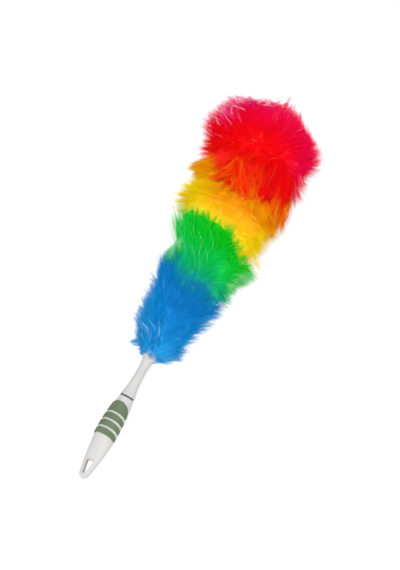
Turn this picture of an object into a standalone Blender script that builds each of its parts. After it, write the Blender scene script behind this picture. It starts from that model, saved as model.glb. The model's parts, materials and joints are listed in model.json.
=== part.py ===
"""Microfiber duster: a two-piece moulded handle with soft grip pads, and a head of fluffy
fibre in four colours that is held by one folded and twisted steel wire.

The stick is modelled along its own X axis, with the tail at x = 0 and the broad face of
the grip up. At the end it is laid down on its tail and its head, as it lies on a table.
All sizes are in metres.
"""
import math

import bmesh
import bpy
import numpy as np
from mathutils import Vector

# Clearances
GAP = 0.0003            # between pieces that touch
LIE_TILT = math.radians(7.5)    # how far the stick leans up towards the head when it lies down

# Grip, measured along the stick from the tail
GRIP_LENGTH = 0.1336
GRIP_BELLY = 0.077      # where it is widest
GRIP_WIDTH = 0.0325
GRIP_DEPTH = 0.0272
TAIL_WIDTH = 0.0130
TAIL_DEPTH = 0.0104
PLATE_DEPTH = 0.0122    # thickness of the flat tail at the end of the hang eye
PLATE_LENGTH = 0.029
TAIL_RADIUS = 0.0080    # the tail's round end, seen from above
TAIL_EDGE = 0.0042      # and seen from the side
TAIL_TAPER = 0.205      # how fast the half width grows at the tail
FRONT_TAPER = 0.19      # how fast the radius falls at the seam
SEAM_DIAMETER = 0.0218
SEAM_EDGE = 0.0005      # rounding of the grip's front edge
GRIP_SIDES = 36
GRIP_STEP = 0.0047      # between sections of the grip

# Hang eye, a tapered hole with its narrow end towards the tail
EYE_START = 0.0083
EYE_LENGTH = 0.0206
EYE_SEAT = 0.0042       # width of the flat at its narrow end
EYE_WIDTH = 0.0118
EYE_SEAT_RADIUS = 0.0009
EYE_CORNER_RADIUS = 0.0022
EYE_CHAMFER = 0.0011
EYE_FLARE = 0.0030      # how far the chamfer's cutter runs on above the surface

# Soft pads, from the seam backwards
THUMB_SETBACK = 0.0090
THUMB_LENGTH = 0.0175
THUMB_SIDE = 0.0022     # length left at its two ends
BAND_LENGTH = 0.0091
BAND_SIDE = 0.0056
RIB_WIDTH = 0.0032
PAD_SPAN = math.radians(86)     # how far a pad reaches round to each side
PAD_ARCH = 0.0035       # how much higher its middle lies than its ends
PAD_THICKNESS = 0.0015  # below the surface of the grip
PAD_PROUD = 0.0005      # above it
PAD_LIP = 0.0008        # width of its rounded edge
PAD_COLUMNS = 17

# Snap joint of grip and neck
PLUG_DIAMETER = 0.0140
PLUG_LENGTH = 0.0220
BEAD_HEIGHT = 0.0005
BEAD_PLACE = 0.0140     # from the seam
BEAD_WIDTH = 0.0020
RING_WIDTH = 0.0018

# Neck, from its shoulder at the seam ring
NECK_LENGTH = 0.0680
WAIST_PLACE = 0.0360
WAIST_DIAMETER = 0.0141
RIM_DIAMETER = 0.0262
RIM_SLOPE = 0.75
RIM_LIP = 0.0007        # half the thickness of the rim
CUP_DEPTH = 0.0050
CUP_FLOOR_DIAMETER = 0.0160
TURN_SIDES = 32

# Wire, sleeve and tip cap
WIRE_DIAMETER = 0.0024
WIRE_SPREAD = 0.0015    # from the stick's axis to the middle of each leg
WIRE_PITCH = 0.044
WIRE_POINTS = 8         # in each turn
EYELET_RADIUS = 0.0034  # of the fold at the wire's tip
EYELET_LENGTH = 0.0080  # over which the legs part to form it
SLEEVE_LENGTH = 0.0400
SLEEVE_WALL = 0.0012
CAP_LENGTH = 0.0175
CAP_WALL = 0.0018

# Fluff, measured from the neck's rim along the stick
HEAD_LENGTH = 0.440
HEAD_RADIUS = 0.0925
BLUE_LENGTH = 0.112
GREEN_LENGTH = 0.074
YELLOW_LENGTH = 0.080
BORDER_WAVE = 0.006     # how far the borders of the colours wander
TUFTS_ROUND = 16
BLUE_ROWS, GREEN_ROWS, YELLOW_ROWS, RED_ROWS = 8, 6, 6, 10
TUFT_WAIST = 0.60       # width of a tuft halfway up, as a share of its foot
TUFT_BOW = 0.10
PRESS_CUT = 0.0005      # depth of the flat cut where tufts lie on the table

# The fluff's outline. Each row has the distance from the rim and the radius on the skin that
# the tufts grow from, then the same two for the longest tips, and how far these lean aside.
# Distances are shares of HEAD_LENGTH, and the other values shares of HEAD_RADIUS.
HEAD_OUTLINE = np.array((
    (0.002, 0.130, 0.010, 0.29, 0.00),
    (0.027, 0.250, 0.050, 0.48, 0.00),
    (0.150, 0.330, 0.195, 0.59, 0.00),
    (0.260, 0.400, 0.315, 0.68, 0.00),
    (0.330, 0.440, 0.390, 0.76, -0.11),
    (0.420, 0.490, 0.480, 0.84, 0.00),
    (0.560, 0.560, 0.620, 0.95, 0.04),
    (0.700, 0.610, 0.755, 1.00, 0.08),
    (0.800, 0.610, 0.845, 0.99, 0.10),
    (0.890, 0.510, 0.935, 0.84, 0.07),
    (0.940, 0.300, 0.985, 0.50, 0.00),
    (0.958, 0.120, 1.000, 0.20, 0.00),
))
LEAN_ASIDE = Vector((0, 0.94, 0.34))    # the side that the red and yellow fibre leans to

# Colours: base colour, roughness and metallic value
WHITE_PLASTIC = ((0.80, 0.79, 0.78), 0.38, 0.0)
SOFT_GREEN = ((0.15, 0.24, 0.11), 0.62, 0.0)
DARK_GREEN = ((0.08, 0.10, 0.06), 0.60, 0.0)
STEEL = ((0.56, 0.57, 0.58), 0.32, 1.0)
BLUE_FIBRE = ((0.01, 0.20, 0.72), 0.85, 0.0)
GREEN_FIBRE = ((0.02, 0.55, 0.08), 0.85, 0.0)
YELLOW_FIBRE = ((0.95, 0.50, 0.01), 0.85, 0.0)
RED_FIBRE = ((0.86, 0.01, 0.03), 0.85, 0.0)

# Places that follow from the sizes
SHOULDER = GRIP_LENGTH + RING_WIDTH + 2 * GAP       # where the neck begins
RIM = SHOULDER + NECK_LENGTH                        # where the neck ends
CUP_FLOOR = RIM - CUP_DEPTH
SLEEVE_BORE = WIRE_SPREAD + WIRE_DIAMETER / 2 + GAP
SLEEVE_RADIUS = SLEEVE_BORE + SLEEVE_WALL
SLEEVE_START = CUP_FLOOR - SLEEVE_LENGTH
CAP_BORE = EYELET_RADIUS + WIRE_DIAMETER / 2 + GAP
CAP_RADIUS = CAP_BORE + CAP_WALL
FLUFF_END = RIM + HEAD_OUTLINE[-1, 0] * HEAD_LENGTH
CAP_START = FLUFF_END + CAP_RADIUS / 2 - CAP_LENGTH
TABLE_UP = Vector((math.sin(LIE_TILT), 0, math.cos(LIE_TILT)))   # seen from the stick


def clear_scene():
    for old in list(bpy.data.objects):
        bpy.data.objects.remove(old, do_unlink=True)


def make_collection(name):
    made = bpy.data.collections.new(name)
    bpy.context.scene.collection.children.link(made)
    return made


def make_material(name, look):
    colour, roughness, metallic = look
    material = bpy.data.materials.new(name)
    material.use_nodes = True
    shader = material.node_tree.nodes["Principled BSDF"]
    shader.inputs["Base Color"].default_value = (*colour, 1.0)
    shader.inputs["Roughness"].default_value = roughness
    shader.inputs["Metallic"].default_value = metallic
    return material


def add_object(name, data, collection, stick, look=None):
    """A new object under the stick's empty, with a material of its own."""
    made = bpy.data.objects.new(name, data)
    collection.objects.link(made)
    made.parent = stick
    if look is None:
        made.hide_render = True
        made.display_type = "WIRE"
    else:
        data.materials.append(make_material(name, look))
    return made


def mesh_of(name, points, faces, sharp=math.radians(50)):
    mesh = bpy.data.meshes.new(name)
    mesh.from_pydata([tuple(p) for p in points], [], [tuple(f) for f in faces])
    mesh.validate()
    mesh.shade_smooth()
    mesh.set_sharp_from_angle(angle=sharp)
    return mesh


def bend(x, start, end, slopes=(0.0, 0.0)):
    """The cubic from the point start to the point end that has the given slopes there."""
    run = end[0] - start[0]
    t = np.clip((x - start[0]) / run, 0.0, 1.0)
    rise = t * t * (3 - 2 * t)
    leave = slopes[0] * run * t * (1 - t) ** 2
    arrive = slopes[1] * run * t * t * (t - 1)
    return start[1] * (1 - rise) + end[1] * rise + leave + arrive


def through(x, knots, values):
    """A smooth curve through a few stations: cubic pieces that share their slopes."""
    slopes = np.gradient(values, knots)
    k = np.clip(np.searchsorted(knots, x) - 1, 0, len(knots) - 2)
    start, end = (knots[k], values[k]), (knots[k + 1], values[k + 1])
    return bend(x, start, end, (slopes[k], slopes[k + 1]))


def turned(name, profile, x, collection, stick, look=None, closed=False):
    """A piece turned about the stick. The profile has (radius, distance from x) pairs, and
    runs down the outer side from the end nearest the head."""
    edges = [(i, i + 1) for i in range(len(profile) - 1)]
    if closed:
        edges.append((len(profile) - 1, 0))
    mesh = bpy.data.meshes.new(name)
    mesh.from_pydata([(radius, 0, along) for radius, along in profile], edges, [])
    made = add_object(name, mesh, collection, stick, look)
    made.location.x = x
    made.rotation_euler.y = math.pi / 2
    screw = made.modifiers.new("turn", "SCREW")
    screw.steps = screw.render_steps = TURN_SIDES
    screw.use_merge_vertices = True
    screw.merge_threshold = 0.00001
    screw.use_smooth_shade = True
    return made


def cut(piece, cutter):
    boolean = piece.modifiers.new(cutter.name, "BOOLEAN")
    boolean.operation = "DIFFERENCE"
    boolean.solver = "EXACT"
    boolean.object = cutter


def round_end(x, radius):
    """How the sections shrink towards the tail's end: 1 past the radius, 0 at the end."""
    t = np.clip(1 - x / radius, 0.0, 1.0)
    return np.sqrt(1 - t * t)


def grip_half_sizes(x):
    """Half width, half depth and squareness of the grip's section at x."""
    x = np.asarray(x, float)
    seam = SEAM_DIAMETER / 2
    tail = bend(x, (0, TAIL_WIDTH / 2), (GRIP_BELLY, GRIP_WIDTH / 2), (TAIL_TAPER, 0))
    front = bend(x, (GRIP_BELLY, GRIP_WIDTH / 2), (GRIP_LENGTH, seam), (0, -FRONT_TAPER))
    half_width = np.where(x < GRIP_BELLY, tail, front) * round_end(x, TAIL_RADIUS)
    plate_slope = (PLATE_DEPTH - TAIL_DEPTH) / 2 / PLATE_LENGTH
    plate = TAIL_DEPTH / 2 + plate_slope * x
    swell = bend(x, (PLATE_LENGTH, PLATE_DEPTH / 2), (GRIP_BELLY, GRIP_DEPTH / 2),
                 (plate_slope, 0))
    fall = bend(x, (GRIP_BELLY, GRIP_DEPTH / 2), (GRIP_LENGTH, seam), (0, -FRONT_TAPER / 2))
    half_depth = np.where(x < PLATE_LENGTH, plate, np.where(x < GRIP_BELLY, swell, fall))
    half_depth = half_depth * round_end(x, TAIL_EDGE)
    squareness = np.where(x < GRIP_BELLY, bend(x, (0, 2.8), (GRIP_BELLY, 2.2)),
                          bend(x, (GRIP_BELLY, 2.2), (GRIP_LENGTH, 2.0)))
    return half_width, half_depth, squareness


def grip_surface(angle, x):
    """Points of the grip's surface. The angle runs from the middle of the broad face."""
    half_width, half_depth, squareness = grip_half_sizes(x)
    side, face = np.sin(angle), np.cos(angle)
    y = half_width * np.sign(side) * np.abs(side) ** (2 / squareness)
    z = half_depth * np.sign(face) * np.abs(face) ** (2 / squareness)
    return np.stack(np.broadcast_arrays(x, y, z), axis=-1)


def off_grip(angle, x, lift):
    """Points at a height above the grip's surface, measured square to it."""
    step = 1e-4
    across = grip_surface(angle + step, x) - grip_surface(angle - step, x)
    along = grip_surface(angle, x + step) - grip_surface(angle, x - step)
    normal = np.cross(along, across)
    normal /= np.linalg.norm(normal, axis=-1, keepdims=True)
    return grip_surface(angle, x) - normal * np.asarray(lift)[..., None]


def grip_mesh():
    """The grip as a loft of rounded sections, closed at the tail and at the seam."""
    quarter = np.linspace(0, math.pi / 2, 7)[1:]
    tail = TAIL_RADIUS * (1 - np.cos(quarter))
    count = round((GRIP_LENGTH - SEAM_EDGE - TAIL_RADIUS) / GRIP_STEP)
    body = np.linspace(TAIL_RADIUS, GRIP_LENGTH - SEAM_EDGE, count + 1)[1:]
    x = np.concatenate((tail, body, [GRIP_LENGTH]))
    angle = np.arange(GRIP_SIDES) * 2 * math.pi / GRIP_SIDES
    rings = grip_surface(angle[None, :], x[:, None])
    rings[-1, :, 1:] *= 1 - SEAM_EDGE / (SEAM_DIAMETER / 2)
    ring, side = np.meshgrid(np.arange(len(x) - 1), np.arange(GRIP_SIDES), indexing="ij")
    here, beside = ring * GRIP_SIDES + side, ring * GRIP_SIDES + (side + 1) % GRIP_SIDES
    walls = np.stack((here, here + GRIP_SIDES, beside + GRIP_SIDES, beside), -1)
    faces = walls.reshape(-1, 4).tolist()
    last = (len(x) - 1) * GRIP_SIDES
    faces.append(list(range(GRIP_SIDES)))
    faces.append([last + k for k in reversed(range(GRIP_SIDES))])
    return mesh_of("grip", rings.reshape(-1, 3), faces)


def rounded_polygon(corners, radii, steps=4):
    """Points of an outline whose corners, in anticlockwise order, are arcs."""
    points = []
    for k, (corner, radius) in enumerate(zip(corners, radii)):
        corner = Vector(corner)
        back = (Vector(corners[k - 1]) - corner).normalized()
        ahead = (Vector(corners[(k + 1) % len(corners)]) - corner).normalized()
        half = back.angle(ahead) / 2
        centre = corner + (back + ahead).normalized() * radius / math.sin(half)
        first = corner + back * radius / math.tan(half) - centre
        turn = math.pi - 2 * half
        for step in range(steps + 1):
            a = turn * step / steps
            points.append((centre.x + first.x * math.cos(a) - first.y * math.sin(a),
                           centre.y + first.x * math.sin(a) + first.y * math.cos(a)))
    return np.array(points)


def eye_mesh():
    """The cutter of the hang eye: a tapered slot whose ends flare out as a chamfer that
    keeps the same depth below the crowned surface."""
    end = EYE_START + EYE_LENGTH
    corners = ((EYE_START, -EYE_SEAT / 2), (end, -EYE_WIDTH / 2),
               (end, EYE_WIDTH / 2), (EYE_START, EYE_SEAT / 2))
    radii = (EYE_SEAT_RADIUS, EYE_CORNER_RADIUS, EYE_CORNER_RADIUS, EYE_SEAT_RADIUS)
    inner = rounded_polygon(corners, radii)
    run = np.roll(inner, -1, axis=0) - np.roll(inner, 1, axis=0)
    outward = np.stack((run[:, 1], -run[:, 0]), -1)
    outward /= np.linalg.norm(outward, axis=1, keepdims=True)
    outer = inner + outward * EYE_FLARE
    half_width, half_depth, squareness = grip_half_sizes(inner[:, 0])
    crown = (1 - np.abs(inner[:, 1] / half_width) ** squareness) ** (1 / squareness)
    start = half_depth * crown - EYE_CHAMFER
    rings = [np.column_stack((outer, -start - EYE_FLARE)), np.column_stack((inner, -start)),
             np.column_stack((inner, start)), np.column_stack((outer, start + EYE_FLARE))]
    count = len(inner)
    faces = [list(reversed(range(count))), [3 * count + k for k in range(count)]]
    for level in range(3):
        for k in range(count):
            here, beside = level * count + k, level * count + (k + 1) % count
            faces.append((here, beside, beside + count, here + count))
    return mesh_of("eye_cutter", np.concatenate(rings), faces)


def pad_shape(kind, along):
    """How long a pad is at each share of its half span, from 0 in the middle to 1."""
    if kind == "thumb":
        return THUMB_SIDE + (THUMB_LENGTH - THUMB_SIDE) * np.sqrt(1 - along * along)
    return BAND_LENGTH + (BAND_SIDE - BAND_LENGTH) * along * along


def slab_mesh(name, outer, inner):
    """A closed body between two like grids of points, one above the other."""
    rows, columns = outer.shape[:2]
    count = rows * columns
    index = np.arange(count).reshape(rows, columns)
    top = np.stack((index[:-1, :-1], index[1:, :-1], index[1:, 1:], index[:-1, 1:]), -1)
    faces = top.reshape(-1, 4).tolist()
    faces += (top[..., ::-1] + count).reshape(-1, 4).tolist()
    border = np.concatenate((index[0, :-1], index[:-1, -1], index[-1, :0:-1], index[:0:-1, 0]))
    ahead = np.roll(border, -1)
    faces += np.stack((border, ahead, ahead + count, border + count), -1).tolist()
    return mesh_of(name, np.concatenate((outer.reshape(-1, 3), inner.reshape(-1, 3))), faces)


def pad_mesh(name, kind, foot, margin=0.0, proud=None, depth=PAD_THICKNESS):
    """A soft pad, bent round the grip. Its edge nearest the tail is an arch whose middle
    lies at foot. A margin makes it larger all round, which is how its recess is cut."""
    along = np.sin(np.linspace(-math.pi / 2, math.pi / 2, PAD_COLUMNS))
    long_way = pad_shape(kind, along)
    rows = 5 if kind == "band" else 7
    share = np.concatenate(([0], np.linspace(PAD_LIP, BAND_LENGTH - PAD_LIP, rows - 2)
                            / BAND_LENGTH, [1]))
    x = (foot - PAD_ARCH * along**2)[:, None] + long_way[:, None] * share[None, :]
    x = x + margin * np.linspace(-1, 1, rows)[None, :]
    half_width, half_depth, _ = grip_half_sizes(foot)
    span = PAD_SPAN + margin / math.sqrt(half_width * half_depth)
    angle = np.broadcast_to((span * along)[:, None], x.shape)
    lift = np.zeros(x.shape)
    lift[1:-1, 1:-1] = PAD_PROUD
    lift[1:-1, 2:-2] *= 1.35
    if proud is not None:
        lift[:] = proud
    return slab_mesh(name, off_grip(angle, x, lift), off_grip(angle, x, lift * 0 - depth))


def add_pads(parts, cutters, stick, grip):
    """The thumb pad and its three bands, each in a recess of its own."""
    foot = GRIP_LENGTH - THUMB_SETBACK - THUMB_LENGTH
    names = ("thumb_pad", "grip_band_front", "grip_band_middle", "grip_band_rear")
    for name in names:
        kind = "thumb" if name == "thumb_pad" else "band"
        add_object(name, pad_mesh(name, kind, foot), parts, stick, SOFT_GREEN)
        recess = pad_mesh(name + "_recess", kind, foot, margin=GAP, proud=2 * PAD_PROUD,
                          depth=PAD_THICKNESS + GAP)
        cut(grip, add_object(name + "_recess", recess, cutters, stick))
        foot -= RIB_WIDTH + BAND_LENGTH


def bead_profile(radius, far, near):
    """A snap bead on a turned side, from its far end down to its near end."""
    middle = (far + near) / 2
    return [(radius, far), (radius + BEAD_HEIGHT, middle + BEAD_WIDTH / 4),
            (radius + BEAD_HEIGHT, middle - BEAD_WIDTH / 4), (radius, near)]


def add_grip(parts, cutters, stick):
    """The grip, with its hang eye and the socket that the neck snaps into."""
    grip = add_object("grip", grip_mesh(), parts, stick, WHITE_PLASTIC)
    cut(grip, add_object("eye_cutter", eye_mesh(), cutters, stick))
    radius = PLUG_DIAMETER / 2 + GAP
    bead = BEAD_PLACE - BEAD_WIDTH / 2 - GAP, BEAD_PLACE + BEAD_WIDTH / 2 + GAP
    profile = [(0, GRIP_STEP), (radius, GRIP_STEP), *bead_profile(radius, -bead[0], -bead[1]),
               (radius, -PLUG_LENGTH), (0, -PLUG_LENGTH)]
    cut(grip, turned("socket_cutter", profile, GRIP_LENGTH, cutters, stick))
    add_pads(parts, cutters, stick, grip)
    return grip


def add_ring(parts, stick):
    """The soft ring that shows as a dark line between the grip and the neck."""
    inside, outside, edge = PLUG_DIAMETER / 2 + GAP, SEAM_DIAMETER / 2, RING_WIDTH / 4
    profile = [(inside, RING_WIDTH), (outside - edge, RING_WIDTH), (outside, RING_WIDTH - edge),
               (outside, edge), (outside - edge, 0), (inside, 0)]
    turned("seam_ring", profile, GRIP_LENGTH + GAP, parts, stick, DARK_GREEN, closed=True)


def add_neck(parts, stick):
    """The neck: plug, shoulder, waist and flared rim, hollow for the sleeve and the fluff."""
    shoulder, waist, rim = SEAM_DIAMETER / 2, WAIST_DIAMETER / 2, RIM_DIAMETER / 2
    bore, cup = SLEEVE_RADIUS + GAP, CUP_FLOOR_DIAMETER / 2
    floor, bottom = NECK_LENGTH - CUP_DEPTH, SLEEVE_START - GAP - SHOULDER
    flare = np.linspace(NECK_LENGTH - RIM_LIP, WAIST_PLACE, 8)
    taper = np.linspace(WAIST_PLACE, SEAM_EDGE, 9)[1:]
    flare_side = bend(flare, (WAIST_PLACE, waist), (NECK_LENGTH, rim), (0, RIM_SLOPE))
    taper_side = bend(taper, (0, shoulder), (WAIST_PLACE, waist), (-FRONT_TAPER, 0))
    plug = PLUG_DIAMETER / 2
    bead = SHOULDER - GRIP_LENGTH + BEAD_PLACE
    end = SHOULDER - GRIP_LENGTH + PLUG_LENGTH - GAP
    profile = [(0, bottom), (bore, bottom), (bore, floor), (cup, floor),
               (rim - 2 * RIM_LIP, NECK_LENGTH - RIM_LIP / 2), (rim - RIM_LIP, NECK_LENGTH)]
    profile += list(zip(flare_side, flare)) + list(zip(taper_side, taper))
    profile += [(shoulder - SEAM_EDGE, 0), (plug, 0)]
    profile += bead_profile(plug, -bead + BEAD_WIDTH / 2, -bead - BEAD_WIDTH / 2)
    profile += [(plug, -end + SEAM_EDGE), (plug - SEAM_EDGE, -end), (0, -end)]
    turned("neck", profile, SHOULDER, parts, stick, WHITE_PLASTIC)


def add_sleeve(parts, stick):
    profile = [(SLEEVE_BORE, SLEEVE_LENGTH - GAP), (SLEEVE_RADIUS, SLEEVE_LENGTH - GAP),
               (SLEEVE_RADIUS, 0), (SLEEVE_BORE, 0)]
    turned("crimp_sleeve", profile, SLEEVE_START, parts, stick, STEEL, closed=True)


def wire_leg(x, phase):
    """Points of one leg of the twisted wire."""
    angle = 2 * math.pi * (x - SLEEVE_START) / WIRE_PITCH + phase
    return np.stack((x, WIRE_SPREAD * np.cos(angle), WIRE_SPREAD * np.sin(angle)), -1)


def wire_route():
    """The whole wire: up one leg, round the eyelet at the tip and down the other leg."""
    fold = CAP_START + CAP_LENGTH - CAP_RADIUS - EYELET_RADIUS
    twist_end = fold - EYELET_LENGTH
    count = round((twist_end - SLEEVE_START - GAP) / WIRE_PITCH * WIRE_POINTS)
    x = np.linspace(SLEEVE_START + GAP, twist_end, count + 1)
    up, down = wire_leg(x, 0.0), wire_leg(x, math.pi)
    away = up[-1, 1:] / WIRE_SPREAD
    opening = np.linspace(0, 1, 4)[1:]
    side = bend(opening, (0, WIRE_SPREAD), (1, EYELET_RADIUS))
    sweep = np.linspace(0, math.pi, 7)[1:-1]
    x_fold = np.concatenate((twist_end + opening * EYELET_LENGTH,
                             fold + EYELET_RADIUS * np.sin(sweep),
                             twist_end + opening[::-1] * EYELET_LENGTH))
    off = np.concatenate((side, EYELET_RADIUS * np.cos(sweep), -side[::-1]))
    eyelet = np.column_stack((x_fold, off[:, None] * away))
    least = np.linalg.norm(up[:, None] - down[None, :], axis=-1).min() - WIRE_DIAMETER
    print(f"twisted wire: least gap between its legs {least * 1000:.2f} mm")
    return np.concatenate((up, eyelet, down[::-1]))


def add_wire(parts, stick):
    route = wire_route()
    curve = bpy.data.curves.new("twisted_wire", "CURVE")
    curve.dimensions = "3D"
    curve.bevel_depth = WIRE_DIAMETER / 2
    curve.bevel_resolution = 1
    curve.use_fill_caps = True
    spline = curve.splines.new("POLY")
    spline.points.add(len(route) - 1)
    spline.points.foreach_set("co", np.column_stack((route, np.ones(len(route)))).ravel())
    add_object("twisted_wire", curve, parts, stick, STEEL)


def add_tip_cap(parts, stick):
    """A small domed cap that keeps the folded wire from scratching."""
    dome = np.linspace(math.pi / 2, 0, 6)
    profile = [(CAP_RADIUS * math.cos(a), CAP_LENGTH - CAP_RADIUS * (1 - math.sin(a)))
               for a in dome]
    profile[0] = (0, CAP_LENGTH)
    depth = CAP_LENGTH - CAP_RADIUS + WIRE_DIAMETER / 2 + GAP
    profile += [(CAP_RADIUS, 0), (CAP_BORE, 0), (CAP_BORE, depth - CAP_WALL),
                (CAP_BORE - CAP_WALL, depth), (0, depth)]
    turned("tip_cap", profile, CAP_START, parts, stick, WHITE_PLASTIC)


def head_point(angle, along, height):
    """A point of the fluff, at an angle round the wire, a distance along the skin from the
    rim, and a height from 0 on the skin to 1 at the longest tips."""
    scale = (HEAD_LENGTH, HEAD_RADIUS, HEAD_LENGTH, HEAD_RADIUS, HEAD_RADIUS)
    knots = HEAD_OUTLINE * scale
    skin_r, tip_x, tip_r, sway = (through(along, knots[:, 0], knots[:, k]) for k in range(1, 5))
    bow = TUFT_BOW * 4 * height * (1 - height)
    reach, lean = tip_r - skin_r, tip_x - along
    x = RIM + along + lean * height - reach * bow
    radius = skin_r + reach * height + lean * bow
    aside = (sway * height)[..., None] * np.array(LEAN_ASIDE)
    ring = np.stack((x, radius * np.cos(angle), radius * np.sin(angle)), -1)
    return ring + aside


def skin_rows(low, high, rows):
    """Distances along the stick that part a bundle's skin into rows of like length."""
    samples = np.linspace(HEAD_OUTLINE[0, 0], HEAD_OUTLINE[-1, 0], 400) * HEAD_LENGTH
    skin = head_point(np.zeros(400), samples, np.zeros(400))
    steps = np.linalg.norm(np.diff(skin, axis=0), axis=1)
    travelled = np.concatenate(([0], np.cumsum(steps)))
    first, last = np.interp(low, samples, travelled), np.interp(high, samples, travelled)
    share = np.linspace(0, 1, rows + 1)[:, None]
    return np.interp(first + (last - first) * share, travelled, samples)


def wavy(place, phase):
    """The border of two colours: a distance from the rim that wanders round the wire."""
    def border(angle):
        return place + BORDER_WAVE * np.cos(3 * angle + phase)
    return border


def above_table(points, drop):
    """Heights of points of the stick above the table that it lies on."""
    return points @ np.array(TABLE_UP) + drop


def held_off_table(angle, along, length, drop):
    """Shortens each tuft that would run through the table, so that its tip ends just below
    the table's top, as far as the flat cut reaches."""
    levels = np.linspace(0, 1, 13)[:, None, None]
    samples = head_point(np.broadcast_to(angle, (13, *angle.shape)),
                         np.broadcast_to(along, (13, *along.shape)),
                         np.broadcast_to(levels, (13, *angle.shape)))
    height = above_table(samples, drop) + PRESS_CUT
    below = height < 0
    k = np.maximum(below.argmax(axis=0), 1)[None]
    upper = np.take_along_axis(height, k - 1, 0)[0]
    lower = np.take_along_axis(height, k, 0)[0]
    meets = (k[0] - 1 + upper / np.where(below.any(axis=0), upper - lower, 1)) / 12
    return np.where(below.any(axis=0), np.minimum(length, meets), length)


def tuft_points(angle, along, drop, seed):
    """The two upper levels of every tuft: four corners halfway up, and the tip. A tuft keeps
    inside the space over its own foot, so none crosses another."""
    chance = np.random.default_rng(seed)
    corners_a = np.stack((angle[:-1, :-1], angle[:-1, 1:], angle[1:, 1:], angle[1:, :-1]), -1)
    corners_x = np.stack((along[:-1, :-1], along[:-1, 1:], along[1:, 1:], along[1:, :-1]), -1)
    middle_a, middle_x = corners_a.mean(-1), corners_x.mean(-1)
    cell_a, cell_x = np.ptp(corners_a, axis=-1) / 4, np.ptp(corners_x, axis=-1) / 4
    shape = middle_a.shape
    length = chance.uniform(0.80, 1.0, shape)
    tip_a = middle_a + cell_a * chance.uniform(-0.6, 0.6, shape)
    tip_x = middle_x + cell_x * chance.uniform(-0.8, 0.8, shape)
    length = held_off_table(tip_a, tip_x, length, drop)
    waist_a = middle_a[..., None] + (corners_a - middle_a[..., None]) * TUFT_WAIST
    waist_x = middle_x[..., None] + (corners_x - middle_x[..., None]) * TUFT_WAIST
    half_up = np.broadcast_to(length[..., None] * 0.5, waist_a.shape)
    return head_point(waist_a, waist_x, half_up), head_point(tip_a, tip_x, length)


def fluff_faces(rings, first_row, rows):
    """Faces of a bundle: the tufts on its skin, and the plain walls of its ends and bore.
    The two ends are parted along unlike diagonals, so that one bundle's wavy end fits the
    next one's."""
    n = TUFTS_ROUND
    faces = []
    for ring in range(rings):
        for k in range(n):
            low, high = ring * n, (ring + 1) % rings * n
            foot = (low + k, low + (k + 1) % n, high + (k + 1) % n, high + k)
            row = ring - first_row
            if row < 0:
                faces += [(foot[0], foot[1], foot[2]), (foot[0], foot[2], foot[3])]
                continue
            if row >= rows:
                faces += [(foot[0], foot[1], foot[3]), (foot[1], foot[2], foot[3])]
                continue
            waist = rings * n + (row * n + k) * 4
            tip = rings * n + rows * n * 4 + row * n + k
            for c in range(4):
                ahead = (c + 1) % 4
                faces.append((foot[c], foot[ahead], waist + ahead, waist + c))
                faces.append((waist + c, waist + ahead, tip))
    return faces


def flat_under(mesh, drop):
    """Cuts the pressed tufts flat where the table's top is."""
    shape = bmesh.new()
    shape.from_mesh(mesh)
    everything = shape.verts[:] + shape.edges[:] + shape.faces[:]
    bmesh.ops.bisect_plane(shape, geom=everything, plane_co=TABLE_UP * -drop, plane_no=TABLE_UP,
                           clear_inner=True)
    open_edges = [edge for edge in shape.edges if edge.is_boundary]
    bmesh.ops.holes_fill(shape, edges=open_edges, sides=0)
    shape.to_mesh(mesh)
    shape.free()


def fluff_mesh(name, rows, low, high, start, end, drop, seed):
    """One colour of fibre, from the border low to the border high. Start and end are rings,
    as (x, radius) pairs, that close it between its bore and its skin."""
    n = TUFTS_ROUND
    cell = 2 * math.pi / n
    turn = np.arange(n + 1) * cell
    along = skin_rows(low(turn), high(turn), rows)
    brick = np.arange(rows + 1) % 2 * 0.5
    angle = turn[None, :] + brick[:, None] * cell
    skin = head_point(angle, along, np.zeros(along.shape))[:, :-1]

    def plain(pairs):
        rings = [np.stack((x + 0 * turn, r * np.cos(turn), r * np.sin(turn)), -1)[:-1]
                 for x, r in pairs]
        return np.array(rings).reshape(-1, n, 3)

    first, last = plain(start(turn)), plain(end(turn))
    waist, tip = tuft_points(angle, along, drop, seed)
    rings = np.concatenate((first, skin, last))
    points = np.concatenate((rings.reshape(-1, 3), waist.reshape(-1, 3), tip.reshape(-1, 3)))
    faces = fluff_faces(len(rings), len(first), rows)
    mesh = mesh_of(name, points, faces)
    flat_under(mesh, drop)
    return mesh


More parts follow.
